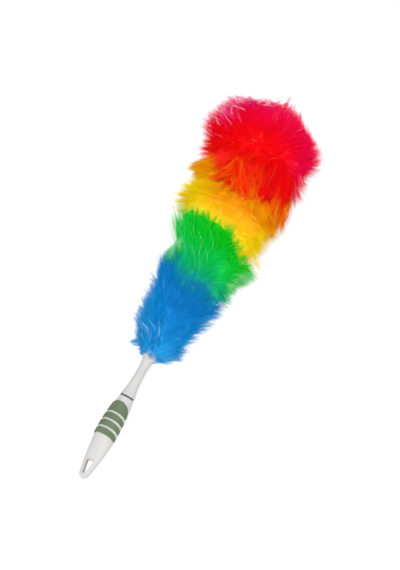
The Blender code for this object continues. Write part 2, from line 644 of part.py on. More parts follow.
def add_fluff(parts, stick, drop):
    """The four bundles. Each fills the wire's whole length up to the next one."""
    bore = SLEEVE_BORE
    to_green = wavy(BLUE_LENGTH, 0.6)
    to_yellow = wavy(BLUE_LENGTH + GREEN_LENGTH, 2.4)
    to_red = wavy(BLUE_LENGTH + GREEN_LENGTH + YELLOW_LENGTH, 4.1)
    root = CUP_FLOOR_DIAMETER / 2 - GAP
    collar = RIM_DIAMETER / 2 - 2 * RIM_LIP - GAP

    def root_rings(turn):
        return [(CUP_FLOOR + GAP, bore), (CUP_FLOOR + GAP, root), (RIM - RIM_LIP / 2, collar)]

    def tip_rings(turn):
        seat = CAP_RADIUS + GAP
        return [(FLUFF_END, seat), (CAP_START - GAP, seat), (CAP_START - GAP, bore)]

    def at_rim(turn):
        return turn * 0 + HEAD_OUTLINE[0, 0] * HEAD_LENGTH

    def at_tip(turn):
        return turn * 0 + HEAD_OUTLINE[-1, 0] * HEAD_LENGTH

    def low_side(border):
        return lambda turn: border(turn) + GAP / 2

    def high_side(border):
        return lambda turn: border(turn) - GAP / 2

    def bore_ring(side):
        return lambda turn: [(RIM + side(turn), bore)]

    bundles = (
        ("blue_fluff", BLUE_ROWS, at_rim, high_side(to_green), BLUE_FIBRE),
        ("green_fluff", GREEN_ROWS, low_side(to_green), high_side(to_yellow), GREEN_FIBRE),
        ("yellow_fluff", YELLOW_ROWS, low_side(to_yellow), high_side(to_red), YELLOW_FIBRE),
        ("red_fluff", RED_ROWS, low_side(to_red), at_tip, RED_FIBRE),
    )
    for seed, (name, rows, low, high, look) in enumerate(bundles):
        start = root_rings if low is at_rim else bore_ring(low)
        end = tip_rings if high is at_tip else bore_ring(high)
        mesh = fluff_mesh(name, rows, low, high, start, end, drop, seed)
        add_object(name, mesh, parts, stick, look)


def shape_points(piece):
    """Every point of a finished piece, in the world."""
    bpy.context.view_layer.update()
    ready = piece.evaluated_get(bpy.context.evaluated_depsgraph_get())
    mesh = ready.to_mesh()
    points = np.empty(len(mesh.vertices) * 3, np.float32)
    mesh.vertices.foreach_get("co", points)
    ready.to_mesh_clear()
    place = np.array(piece.matrix_world)
    return points.reshape(-1, 3) @ place[:3, :3].T + place[:3, 3]


def lay_down(stick, parts):
    """Moves the stick so that the origin lies below the middle of the whole duster."""
    points = np.concatenate([shape_points(piece) for piece in parts.objects])
    middle = (points.min(axis=0) + points.max(axis=0)) / 2
    stick.location.x -= middle[0]
    stick.location.y -= middle[1]


def main():
    clear_scene()
    parts, cutters = make_collection("microfiber_duster"), make_collection("cutters")
    stick = bpy.data.objects.new("stick", None)
    bpy.context.scene.collection.objects.link(stick)
    stick.rotation_euler.y = -LIE_TILT
    grip = add_grip(parts, cutters, stick)
    add_ring(parts, stick)
    add_neck(parts, stick)
    add_sleeve(parts, stick)
    add_wire(parts, stick)
    add_tip_cap(parts, stick)
    drop = -float(shape_points(grip)[:, 2].min())
    stick.location.z = drop
    add_fluff(parts, stick, drop)
    lay_down(stick, parts)


main()
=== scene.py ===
# %% [markdown]
# # A microfiber duster in four colours
# The duster is a moulded handle with a long head of soft, dyed fibre on a twisted wire. Its hard
# parts come from a solid model that is loaded as a fixed frame, so this lesson only gives them
# their finish. The fluff can't be a solid: it is made here, as many thousands of thin fibres.

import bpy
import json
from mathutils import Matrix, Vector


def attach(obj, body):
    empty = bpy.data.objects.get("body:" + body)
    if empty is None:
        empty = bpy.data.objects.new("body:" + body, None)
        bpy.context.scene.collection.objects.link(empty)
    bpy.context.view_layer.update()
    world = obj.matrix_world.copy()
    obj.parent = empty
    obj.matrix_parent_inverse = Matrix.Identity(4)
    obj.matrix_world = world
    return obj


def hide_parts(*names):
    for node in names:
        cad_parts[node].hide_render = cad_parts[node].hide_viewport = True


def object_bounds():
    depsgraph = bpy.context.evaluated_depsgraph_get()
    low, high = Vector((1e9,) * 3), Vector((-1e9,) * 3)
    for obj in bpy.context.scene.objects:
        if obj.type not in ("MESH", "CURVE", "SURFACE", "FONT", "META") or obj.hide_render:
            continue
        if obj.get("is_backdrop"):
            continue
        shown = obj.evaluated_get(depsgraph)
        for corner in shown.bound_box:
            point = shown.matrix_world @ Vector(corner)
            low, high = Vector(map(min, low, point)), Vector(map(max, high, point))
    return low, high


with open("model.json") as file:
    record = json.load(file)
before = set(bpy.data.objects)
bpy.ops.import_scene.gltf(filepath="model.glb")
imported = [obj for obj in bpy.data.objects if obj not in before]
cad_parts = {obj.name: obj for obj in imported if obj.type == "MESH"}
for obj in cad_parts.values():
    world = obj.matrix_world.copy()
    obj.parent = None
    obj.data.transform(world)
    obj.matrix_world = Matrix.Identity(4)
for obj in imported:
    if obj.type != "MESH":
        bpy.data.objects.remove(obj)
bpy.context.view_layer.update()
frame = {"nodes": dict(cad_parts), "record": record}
print("frame:", len(frame["nodes"]), "nodes")

# %% [markdown]
# ## The stick's own axes
# The duster lies on a table and leans on its tail, so nothing in it runs along the world's axes.
# Turning every formula by hand would be hard to read. Instead all of the fluff is worked out in
# the stick's own frame, with x along the stick from its tail, and then carried into the world.
# The axis is that of the hang eye's seat in the record, and the ends are measured on the nodes.

# %% Measure the stick
import json
import math

import bpy
import numpy as np
from mathutils import Matrix, Vector


def points_of(node):
    """Every point of a node of the frame, as one array."""
    mesh = frame["nodes"][node].data
    points = np.empty(len(mesh.vertices) * 3, np.float32)
    mesh.vertices.foreach_get("co", points)
    return points.reshape(-1, 3).astype(float)


seat = frame["record"]["mounts"][0]
ALONG = np.array(seat["axis"])
ASIDE = np.array((0.0, 1.0, 0.0))
ABOVE = np.cross(ALONG, ASIDE)
TAIL = np.array(seat["pos_m"])
TAIL = TAIL + ((points_of("grip") @ ALONG).min() - TAIL @ ALONG) * ALONG
RIM = (points_of("neck") @ ALONG).max() - TAIL @ ALONG
HEAD_LENGTH = (points_of("red_fluff") @ ALONG).max() - TAIL @ ALONG - RIM
print(f"rim {RIM * 1000:.1f} mm from the tail, head {HEAD_LENGTH * 1000:.1f} mm long")


def to_world(x, y, z):
    """Stick coordinates into the world: the tail plus x, y and z times the stick's three axes."""
    return TAIL + x[..., None] * ALONG + y[..., None] * ASIDE + z[..., None] * ABOVE


# %% [markdown]
# ## Small helpers for materials
# A node material is a tree of nodes and links. Writing each link out takes many lines, so small
# helpers do it: one adds a node and feeds its inputs, some add the nodes that are needed most,
# one makes a group with named sockets, and one starts a material. Colours are written as they
# look on a screen and turned into the linear values that the renderer works with.

# %% Helpers for node trees
def linear(code):
    """A screen colour such as "#e8e6e4" in linear light, by the standard curve of sRGB."""
    shares = np.array([int(code[k:k + 2], 16) / 255 for k in (1, 3, 5)])
    return tuple(np.where(shares <= 0.04045, shares / 12.92, ((shares + 0.055) / 1.055) ** 2.4))


def add_node(tree, kind, inputs=(), **settings):
    """A new node. Each input is a value, or the output socket that it is linked from."""
    made = tree.nodes.new(kind)
    for name, value in settings.items():
        setattr(made, name, value)
    for socket, value in dict(inputs).items():
        if isinstance(value, bpy.types.NodeSocket):
            tree.links.new(value, made.inputs[socket])
        else:
            made.inputs[socket].default_value = value
    return made


def maths(tree, operation, first, second=0.5, third=0.5, clamp=False):
    """One step of arithmetic on values that change over the surface."""
    feeds = {0: first, 1: second, 2: third}
    return add_node(tree, "ShaderNodeMath", feeds, operation=operation, use_clamp=clamp).outputs[0]


def blend_colours(tree, share, first, second):
    """The first colour where share is 0 and the second where it is 1. The mix node has sockets
    for every kind of value, and those numbered 6 and 7 take the two colours."""
    feeds = {"Factor": share, 6: first, 7: second}
    return add_node(tree, "ShaderNodeMix", feeds, data_type="RGBA").outputs[2]


def noise(tree, where, scale, detail):
    """A cloudy pattern between 0 and 1, which mostly stays near 0.5."""
    feeds = {"Vector": where, "Scale": scale, "Detail": detail}
    return add_node(tree, "ShaderNodeTexNoise", feeds).outputs["Fac"]


def stretched(tree, pattern):
    """A noise spread over the whole way from 0 to 1: 2.4 times it, less 0.7."""
    return maths(tree, "MULTIPLY_ADD", pattern, 2.4, -0.7, clamp=True)


def make_group(name, inputs, outputs):
    """An empty shader group. Its sockets are given as name and kind pairs."""
    tree = bpy.data.node_groups.new(name, "ShaderNodeTree")
    for socket, kind in inputs.items():
        tree.interface.new_socket(socket, in_out="INPUT", socket_type="NodeSocket" + kind)
    for socket, kind in outputs.items():
        tree.interface.new_socket(socket, in_out="OUTPUT", socket_type="NodeSocket" + kind)
    return tree, tree.nodes.new("NodeGroupInput").outputs, tree.nodes.new("NodeGroupOutput")


def place_group(tree, group, inputs):
    """A group's node in a material, with its inputs fed."""
    return add_node(tree, "ShaderNodeGroup", inputs, node_tree=group)


def start_material(name, **values):
    """A material with one Principled shader, whose plain values are set by their names."""
    material = bpy.data.materials.new(name)
    material.use_nodes = True
    shader = material.node_tree.nodes["Principled BSDF"]
    for socket, value in values.items():
        shader.inputs[socket.replace("_", " ")].default_value = value
    return material, material.node_tree, shader


print("screen white in linear light:", linear("#ffffff"))

# %% [markdown]
# ## Moulded and rubbed surfaces
# Satin plastic, soft pads and drawn steel look different, but all of them have a fine grain and
# faint uneven patches in colour and gloss. That shared effect is one group: two noises, one fine
# for the grain and one broad for the patches. Each material places it with its own sizes.

# %% The shared grain group
grain_group, given, out = make_group(
    "fine_grain",
    {"Colour": "Color", "Patch Colour": "Color", "Patch Size": "Float", "Grain Size": "Float",
     "Roughness": "Float", "Roughness Spread": "Float", "Depth": "Float"},
    {"Colour": "Color", "Roughness": "Float", "Normal": "Vector"})
where = add_node(grain_group, "ShaderNodeTexCoord").outputs["Object"]
patch_scale = maths(grain_group, "DIVIDE", 1.0, given["Patch Size"])
grain_scale = maths(grain_group, "DIVIDE", 1.0, given["Grain Size"])
patches = noise(grain_group, where, patch_scale, 3.0)
grain = noise(grain_group, where, grain_scale, 2.0)
share = stretched(grain_group, patches)
tint = blend_colours(grain_group, share, given["Colour"], given["Patch Colour"])
uneven = maths(grain_group, "SUBTRACT", patches, 0.5)
rough = maths(grain_group, "MULTIPLY_ADD", uneven, given["Roughness Spread"], given["Roughness"])
raised = add_node(grain_group, "ShaderNodeBump",
                  {"Height": grain, "Distance": given["Depth"], "Strength": 1.0})
grain_group.links.new(tint, out.inputs["Colour"])
grain_group.links.new(rough, out.inputs["Roughness"])
grain_group.links.new(raised.outputs["Normal"], out.inputs["Normal"])
print("grain group:", len(grain_group.nodes), "nodes")


# %% Materials of the hard parts
def grained(name, colour, patch, patch_size, grain_size, roughness, spread, depth, **values):
    """A Principled material whose colour, roughness and bump come from the grain group."""
    material, tree, shader = start_material(name, **values)
    made = place_group(tree, grain_group, {
        "Colour": (*linear(colour), 1), "Patch Colour": (*linear(patch), 1),
        "Patch Size": patch_size, "Grain Size": grain_size,
        "Roughness": roughness, "Roughness Spread": spread, "Depth": depth})
    tree.links.new(made.outputs["Colour"], shader.inputs["Base Color"])
    tree.links.new(made.outputs["Roughness"], shader.inputs["Roughness"])
    tree.links.new(made.outputs["Normal"], shader.inputs["Normal"])
    return material


FINISHES = {
    "white_plastic": dict(colour="#cac8c6", patch="#c6c4c2", patch_size=0.05, grain_size=0.0005,
                          roughness=0.55, spread=0.12, depth=0.00002, Specular_IOR_Level=0.30),
    "soft_green": dict(colour="#67775a", patch="#5c6c50", patch_size=0.012, grain_size=0.0004,
                       roughness=0.66, spread=0.14, depth=0.00006, Specular_IOR_Level=0.35),
    "dark_green": dict(colour="#565f4d", patch="#4d5545", patch_size=0.008, grain_size=0.0004,
                       roughness=0.60, spread=0.10, depth=0.00005),
    "steel": dict(colour="#c4c6c8", patch="#b8babd", patch_size=0.010, grain_size=0.0003,
                  roughness=0.30, spread=0.12, depth=0.00002, Metallic=1.0),
}
finishes = {name: grained(name, **values) for name, values in FINISHES.items()}
for part in frame["record"]["subparts"]:
    if part["material_slot"] in finishes:
        mesh = frame["nodes"][part["node"]].data
        mesh.materials.clear()
        mesh.materials.append(finishes[part["material_slot"]])
        print(part["node"], "is", part["material_slot"])

# %% [markdown]
# ## The outline of the fluff
# The head is wider at its end than at the neck, and it isn't round: each colour bulges a little
# on its own side. A scan or a sculpt could hold that, but a few stations are easier to change.
# Each station has a distance from the neck's rim and the reach of the tips to the left and to
# the right, seen from above the grip. Between the two sides the reach follows a cosine.

# %% Stations of the outline, in millimetres
OUTLINE = np.array((
    (0, 13, 11), (6, 17, 22), (14, 31, 38), (32, 42, 43), (48, 50, 44), (62, 47, 48),
    (76, 50, 54), (91, 49, 56), (108, 55, 62), (120, 54, 65), (132, 58, 66), (146, 59, 62),
    (158, 51, 68), (168, 48, 76), (180, 45, 82), (192, 43, 76), (204, 62, 65), (216, 82, 74),
    (228, 89, 72), (240, 90, 80), (252, 87, 87), (264, 79, 74), (271, 77, 72), (279, 84, 72),
    (288, 83, 76), (300, 86, 79), (312, 92, 83), (324, 93, 82), (337, 98, 74), (349, 99, 76),
    (361, 97, 84), (373, 94, 84), (385, 90, 83), (397, 84, 79), (409, 62, 53), (421, 36, 31),
    (432, 19, 14), (440, 7, 4),
)) / 1000
OUTLINE[:, 0] *= HEAD_LENGTH / OUTLINE[-1, 0]
LEFT = math.radians(20)     # where the photograph's left side lies, round the stick


def reach(d, angle):
    """How far the tips reach from the wire: the mean of the left and right reach, plus half
    their difference times the cosine of the angle from the left side."""
    left, right = (np.interp(d, OUTLINE[:, 0], OUTLINE[:, k]) for k in (1, 2))
    return (left + right) / 2 + (left - right) / 2 * np.cos(angle - LEFT)


print(f"fluff {OUTLINE[:, 1:].sum(axis=1).max() * 1000:.0f} mm wide at its widest station")

# %% [markdown]
# ## Where the colours meet
# The fibre is dyed in four lengths, and their borders wander round the head in broad tongues.
# Each border is a few angles round the stick, from the left side, with the distance from the
# rim there. One number then says where a fibre lies in the rainbow: 0 at the rim, 1, 2 and 3 at
# the borders and 4 at the head's end.

# %% Borders of the colours, in degrees and millimetres
BORDERS = (
    ((0, 142), (22, 150), (45, 147), (58, 136), (72, 130), (90, 133), (108, 138), (124, 137),
     (136, 122), (180, 116), (230, 130), (270, 122), (315, 132)),
    ((0, 216), (30, 226), (60, 219), (90, 221), (120, 214), (150, 194), (180, 180), (225, 196),
     (270, 210), (315, 205)),
    ((0, 306), (30, 300), (60, 283), (85, 276), (110, 270), (135, 262), (160, 272), (180, 285),
     (225, 280), (270, 292), (315, 298)),
)


def place_in_rainbow(d, angle):
    """The share of the rainbow at a distance from the rim: 0 to 4, even between borders."""
    round_it = np.degrees(angle - LEFT) % 360
    lines = [d * 0]
    for border in BORDERS:
        turn, distance = np.array(border).T
        lines.append(np.interp(round_it, turn, distance, period=360) / 1000)
    lines.append(d * 0 + HEAD_LENGTH)
    place = d * 0
    for low, high in zip(lines[:-1], lines[1:]):
        place = place + np.clip((d - low) / (high - low), 0, 1)
    return place


middle_places = place_in_rainbow(np.array((0.1, 0.2, 0.3, 0.4)), LEFT + math.pi / 2)
print("rainbow places at 100, 200, 300 and 400 mm:", middle_places.round(2))

# %% [markdown]
# ## Shades within a colour
# No colour is quite even. The blue is lighter at its sides, most of all at the left; at the sides
# that is painted light, where light comes through its thin outer hairs. The green is paler at the
# left and deeper at the right. The yellow turns golden in the middle of the front, and the red
# turns crimson at its sides. Each shade is already in the rainbow, a little before or after. So it
# is enough to shift the place in the rainbow by one wave and two waves round the stick, but never
# past a border. Each row below has a place and the sizes of its two waves. Last come the first and
# the last place that each colour may take.

# %% Shift the shades
SHADES = np.array((
    (0.0, -0.04, -0.08), (0.5, -0.12, -0.16), (0.9, -0.04, -0.08), (1.1, -0.05, 0.00),
    (1.5, -0.16, 0.00), (1.94, -0.26, 0.00), (2.04, 0.00, -0.26), (2.4, 0.00, -0.26),
    (2.7, 0.06, 0.02), (2.94, 0.00, 0.00), (3.1, 0.05, 0.08), (3.5, -0.12, 0.24),
    (3.8, 0.04, 0.08), (4.0, 0.12, 0.00),
))
OWN_PLACES = np.array(((0.02, 0.98), (1.02, 1.94), (2.06, 2.98), (3.02, 4.0)))


def shaded(place, angle):
    """The place in the rainbow plus a part times the cosine of the angle from the left side,
    plus a part times the cosine of twice that angle, but still within its own colour."""
    once, twice = (np.interp(place, SHADES[:, 0], SHADES[:, k]) for k in (1, 2))
    shifted = place + once * np.cos(angle - LEFT) + twice * np.cos(2 * (angle - LEFT))
    own = OWN_PLACES[np.clip(place.astype(int), 0, 3)]
    return np.clip(shifted, own[..., 0], own[..., 1])


print(f"the middle of the yellow shifts by {shaded(np.array(2.5), LEFT + math.pi / 2) - 2.5:.2f}")

# %% [markdown]
# ## Where the fibres spring from
# The wire grips every fibre in its twist, and the fibres fan out from there. A colour whose
# fibres all spring from a short stretch of wire becomes a ball, as the red end does. One whose
# fibres spring from behind their tips sweeps towards the head's end, as the blue does, and one
# that is held a little ahead of its tips leans back, as the yellow does. So each row below has a
# place in the rainbow, the spot on the wire that holds it, how much its left side sweeps up, and
# how much more upright its fibres stand at both sides than on top.

# %% Stretches of wire, in millimetres from the rim
WIRE_HOLD = np.array((
    (0.00, 6, 0.00, 0.00), (0.12, 10, 0.02, 0.06), (0.30, 22, 0.00, 0.14), (0.99, 90, 0.00, 0.18),
    (1.01, 112, 0.22, 0.10), (1.99, 160, 0.20, 0.05), (2.01, 224, -0.12, 0.00),
    (2.50, 264, -0.08, 0.00), (2.99, 304, 0.00, 0.00), (3.01, 334, 0.05, 0.00),
    (3.40, 344, 0.03, 0.00), (4.00, 366, 0.00, 0.00),
))
LUMP_WAVES = ((0.045, 31, 2, 0.4), (0.035, 57, 3, 2.1), (0.030, 90, 5, 4.0))


def held_at(place, d, angle):
    """The place on the wire that holds the fibre whose tip is at d: the hold of its place in the
    rainbow, plus the reach times (upright cos^2 - sweep cos) of the angle from the left side."""
    held, sweep, upright = (np.interp(place, WIRE_HOLD[:, 0], WIRE_HOLD[:, k]) for k in (1, 2, 3))
    to_left = np.cos(angle - LEFT)
    return held / 1000 + (upright * to_left ** 2 - sweep * to_left) * reach(d, angle)


def lumps(d, angle):
    """Broad lumps of the fluff: 1 plus a few waves along and round the head. Each wave has its
    size, how fast it turns along the head and round it, and its start."""
    swell = 1.0
    for size, along, around, start in LUMP_WAVES:
        swell = swell + size * np.cos(along * d + around * angle + start)
    return swell


print(f"the lumps swell the fluff by up to {sum(wave[0] for wave in LUMP_WAVES):.0%}")

# %% [markdown]
# ## The table under the duster
# The head's weight presses its lower fibres flat. A simulation of so many fibres would take far
# too long, and only the result matters: nothing is lower than the table. A smooth map does that.
# It leaves high points where they are and eases the others up to just above the table.

# %% Press the lower fibres flat
PRESS = 0.0035      # height over which the fibre gives way
LIFT = 0.0003       # half a tuft's thickness when it lies flat
LOWEST = 0.00005    # of any point, just above the table


def press_down(points):
    """Height z becomes PRESS times ln(1 + e^(z / PRESS)), plus a lift."""
    pressed = points.copy()
    pressed[..., 2] = PRESS * np.logaddexp(0, points[..., 2] / PRESS) + LIFT
    return pressed


print(f"a point at the table's height ends {press_down(np.zeros(3))[2] * 1000:.1f} mm above it")

# %% [markdown]
# ## One mesh from many like fibres
# Hair curves would be easier to make, but the finished model has to hold real surfaces, so each
# fibre is a thin closed spike with three sides. All fibres share one pattern of faces, and only
# their points differ. The pattern is therefore made once and repeated by adding an offset, with
# no loop over fibres. So thin a thing is seldom seen by itself: what the eye takes in is the soft
# body that the fibres form, and light that soaks through them from above. So each point's normal
# is turned from the fibre's own side towards the outside of the whole body and upwards, as is
# done for fur and leaves.

# %% Fibres into a mesh
OWN_SIDE = 0.35         # how much of a fibre's own roundness stays in its normals
SKYWARD = 2.0           # how much they turn up
NEARLY_UPRIGHT = 0.9    # past this rise, a fibre's sides are measured from another axis


def fibre_pattern(knots):
    """Faces of one spike: a cap, quads between its rings, and three faces up to its tip. Also
    gives each corner's place in the spike's own small cell of the texture map: the cap lies at
    the cell's foot, and each of the three sides fills a column above it, 0.3 of a cell wide."""
    faces, cells = [(0, 2, 1)], [((0.05, 0.02), (0.5, 0.10), (0.95, 0.02))]
    rings = knots - 1
    for ring in range(rings - 1):
        for side in range(3):
            here, beside = 3 * ring + side, 3 * ring + (side + 1) % 3
            faces.append((here, beside, beside + 3, here + 3))
            low, high = (0.15 + 0.8 * (ring + up) / rings for up in (0, 1))
            near, far = 0.05 + 0.3 * side, 0.35 + 0.3 * side
            cells.append(((near, low), (far, low), (far, high), (near, high)))
    for side in range(3):
        here, beside = 3 * (rings - 1) + side, 3 * (rings - 1) + (side + 1) % 3
        faces.append((here, beside, 3 * rings))
        low, near = 0.15 + 0.8 * (rings - 1) / rings, 0.05 + 0.3 * side
        cells.append(((near, low), (near + 0.3, low), (near + 0.15, 0.95)))
    return faces, cells


def unit(vectors):
    """Vectors divided by their lengths."""
    return vectors / np.linalg.norm(vectors, axis=-1, keepdims=True)


def spikes(line, radius, outward):
    """Points and normals of spikes along lines of points. Each ring has its corners at a third
    of a turn round the line, at the radius there, and a line's last point is a spike's tip. A
    normal is the way outwards and up, plus a part of the corner's own way from the line."""
    count = len(line)
    run = unit(line[:, -1] - line[:, 0])
    is_flat = np.abs(run[:, 2:]) < NEARLY_UPRIGHT
    across = unit(np.cross(run, np.where(is_flat, (0.0, 0.0, 1.0), (1.0, 0.0, 0.0))))
    over = np.cross(run, across)
    turn = np.arange(3)[None, :, None] * 2 * math.pi / 3
    spokes = across[:, None] * np.cos(turn) + over[:, None] * np.sin(turn)
    rings = line[:, :-1, None] + radius[:, :-1, None, None] * spokes[:, None]
    points = np.concatenate((rings.reshape(count, -1, 3), line[:, -1:]), axis=1)
    points[..., 2] = np.maximum(points[..., 2], LOWEST)
    outward = unit(outward + (0, 0, SKYWARD))
    facing = unit(outward[:, :-1, None] + OWN_SIDE * spokes[:, None]).reshape(count, -1, 3)
    return points, np.concatenate((facing, outward[:, -1:]), axis=1)


def map_cells(count, cells):
    """Texture places of all corners: the fibres fill a square of small equal cells, row by row,
    and each corner lies in its fibre's cell as the pattern says."""
    in_a_row = math.ceil(math.sqrt(count))
    cell = np.stack((np.arange(count) % in_a_row, np.arange(count) // in_a_row), -1)
    inside = np.concatenate([np.array(face) for face in cells])
    return (cell[:, None, :] + inside[None]) / in_a_row


def fibre_mesh(name, line, radius, outward, facts):
    """A mesh of one spike for each line, with its normals, its texture map and its facts."""
    count, knots = line.shape[:2]
    points, facing = spikes(line, radius, outward)
    faces, cells = fibre_pattern(knots)
    corners = np.concatenate(faces)
    lengths = np.array([len(face) for face in faces])
    starts = np.concatenate(([0], np.cumsum(lengths)[:-1]))
    each = points.shape[1]
    fibre = np.arange(count)[:, None]
    mesh = bpy.data.meshes.new(name)
    mesh.vertices.add(count * each)
    mesh.vertices.foreach_set("co", points.astype(np.float32).ravel())
    mesh.loops.add(count * len(corners))
    mesh.loops.foreach_set("vertex_index", (corners + fibre * each).astype(np.int32).ravel())
    mesh.polygons.add(count * len(faces))
    mesh.polygons.foreach_set("loop_start", (starts + fibre * len(corners)).astype(np.int32).ravel())
    mesh.update(calc_edges=True)
    mesh.shade_smooth()
    layer = mesh.attributes.new("custom_normal", "FLOAT_VECTOR", "POINT")
    layer.data.foreach_set("vector", facing.astype(np.float32).ravel())
    places = map_cells(count, cells)
    mesh.uv_layers.new(name="OFBake").data.foreach_set("uv", places.astype(np.float32).ravel())
    for fact, values in facts.items():
        spread = np.repeat(values, (3,) * (knots - 1) + (1,), axis=1)
        layer = mesh.attributes.new(fact, "FLOAT", "POINT")
        layer.data.foreach_set("value", spread.astype(np.float32).ravel())
    return mesh


print("a spike with 5 knots has", len(fibre_pattern(5)[0]), "faces")

# %% [markdown]
# ## Dyed fibre, with painted shade and light
# Each fibre is painted deep in colour at its root, as painted shade where the others shade it,
# and bright at its tip, as painted light where light comes through. One group holds that: two
# ramps over the rainbow, one deep and one bright, and a blend between them along the fibre. Every
# fibre carries three facts as attributes: its place in the rainbow, its painted brightness from
# root to tip, and how pale it is. The paleness is a painted highlight: some hairs glint almost
# white towards their tips, and thin hairs let light through.

# %% The dye group
DEEP = (
    (0.00, "#108ccc"), (0.10, "#0a84d0"), (0.19, "#0876c8"), (0.238, "#086eba"),
    (0.262, "#089480"), (0.30, "#06b464"), (0.37, "#05c448"), (0.44, "#04c422"),
    (0.497, "#06c008"), (0.503, "#fcd00a"), (0.560, "#fcca08"), (0.60, "#fcb406"),
    (0.66, "#fc9e04"), (0.70, "#fc8c04"), (0.730, "#fc6604"), (0.750, "#fc3004"),
    (0.765, "#fc080a"), (0.80, "#fc040e"), (0.86, "#fb031a"), (0.90, "#fa0232"),
    (0.96, "#f8044c"), (0.98, "#f80e64"), (1.00, "#f81684"),
)
BRIGHT = (
    (0.00, "#2ab0e6"), (0.10, "#1aa6ea"), (0.19, "#129ae6"), (0.238, "#1290d4"),
    (0.262, "#14bca0"), (0.30, "#18d488"), (0.37, "#14de66"), (0.44, "#10de3a"),
    (0.497, "#14d814"), (0.503, "#ffe810"), (0.560, "#ffe40c"), (0.60, "#ffd00a"),
    (0.66, "#ffba0a"), (0.70, "#ffaa0a"), (0.730, "#ff8608"), (0.750, "#ff4a06"),
    (0.765, "#ff120c"), (0.80, "#ff0a12"), (0.86, "#ff0820"), (0.90, "#ff0840"),
    (0.96, "#ff1264"), (0.98, "#ff2484"), (1.00, "#ff40a8"),
)
GLINT_WHITE = (0.92, 0.96, 0.98, 1)      # painted highlight of glinting hairs, in linear light


def rainbow_ramp(tree, share, stops):
    """A colour ramp with the given stops."""
    made = add_node(tree, "ShaderNodeValToRGB", {"Fac": share})
    elements = made.color_ramp.elements
    elements.remove(elements[1])
    for k, (place, code) in enumerate(stops):
        stop = elements[0] if k == 0 else elements.new(place)
        stop.position = place
        stop.color = (*linear(code), 1)
    return made.outputs["Color"]


dye_and_light_group, given, out = make_group(
    "dyed_fibre_and_light", {"Rainbow": "Float", "Brightness": "Float", "Paleness": "Float"},
    {"Colour": "Color"})
# The deep ramp is painted shade at the roots, and the bright ramp painted light at the tips.
deep = rainbow_ramp(dye_and_light_group, given["Rainbow"], DEEP)
bright = rainbow_ramp(dye_and_light_group, given["Rainbow"], BRIGHT)
body = blend_colours(dye_and_light_group, given["Brightness"], deep, bright)
# Mixing towards white paints the highlight of glinting hairs.
whole = blend_colours(dye_and_light_group, given["Paleness"], body, GLINT_WHITE)
dye_and_light_group.links.new(whole, out.inputs["Colour"])

fibre_material, tree, shader = start_material(
    "dyed_fibre_and_light", Roughness=0.7, Specular_IOR_Level=0.02)
facts = {name: add_node(tree, "ShaderNodeAttribute", attribute_name=name.lower()).outputs["Fac"]
         for name in ("Rainbow", "Brightness", "Paleness")}
dyed = place_group(tree, dye_and_light_group, facts)
tree.links.new(dyed.outputs["Colour"], shader.inputs["Base Color"])
print("dye group:", len(DEEP), "deep and", len(BRIGHT), "bright stops")

# %% [markdown]
# ## Tufts, then fibres
# Fibre that is brushed or bent clings together in small tufts with a common tip. Placing every
# fibre by itself would give an even fur, so tufts are placed first, on an even spiral over the
# outline. Each fibre starts at a small distance from its tuft's root and is drawn in towards the
# tuft's line, with a length and a frizz of its own. Three coats are grown so: a short down of
# many small tufts, which closes the surface, soft tufts that lie over it, and thin pointed locks.
# In each row, along and out place a tuft's root as shares of its tip's way from the wire hold
# and from the wire, and reach is a range for the tip. Spread is the tuft's size at its root,
# draw_in how much it narrows, bow how far it bends, and tilt and slip how far its root strays.

# %% Tufts of a coat
GOLDEN_ANGLE = math.pi * (3 - math.sqrt(5))
STATIONS = 1200         # along the head, where its area is added up
TURN_JITTER = 0.05      # radians that a tuft strays from its even place
DYE_JITTER = 0.003      # metres that a tuft's colour strays over a border
FIRST_ROOT = 0.004      # metres from the rim to the nearest root
COATS = {
    "down": dict(tufts=6200, fibres=8, knots=4, width=0.00021, along=0.60, out=0.60,
                 reach=(0.80, 0.93), spread=0.0030, draw_in=(0.1, 0.6), length=(0.62, 1.0),
                 bow=0.0015, tilt=0.28, slip=0.015),
    "tufts": dict(tufts=1400, fibres=17, knots=5, width=0.00019, along=0.36, out=0.68,
                  reach=(0.88, 1.08), spread=0.0036, draw_in=(0.45, 0.9), length=(0.50, 1.0),
                  bow=0.0030, tilt=0.14, slip=0.004),
    "locks": dict(tufts=2300, fibres=7, knots=5, width=0.00018, along=0.35, out=0.70,
                  reach=(0.92, 1.12), spread=0.0014, draw_in=(0.8, 1.0), length=(0.60, 1.0),
                  bow=0.0035, tilt=0.14, slip=0.003),
}
chance = np.random.default_rng(11)


def spiral_over_head(count):
    """Even places over the outline: the share of its area grows evenly from tuft to tuft, and
    each tuft is turned by the golden angle from the last."""
    d = np.linspace(0, HEAD_LENGTH, STATIONS)
    radius = reach(d, LEFT + math.pi / 2)
    steps = (radius * np.hypot(1, np.gradient(radius, d)))[1:] * np.diff(d)
    area = np.concatenate(([0], np.cumsum(steps)))
    share = (np.arange(count) + chance.uniform(0, 1, count)) / count
    return np.interp(share * area[-1], area, d), np.arange(count) * GOLDEN_ANGLE


def on_stick(d, radius, angle):
    """Points at a distance from the rim, a radius from the wire and an angle round it."""
    return np.stack((RIM + d, radius * np.cos(angle), radius * np.sin(angle)), -1)


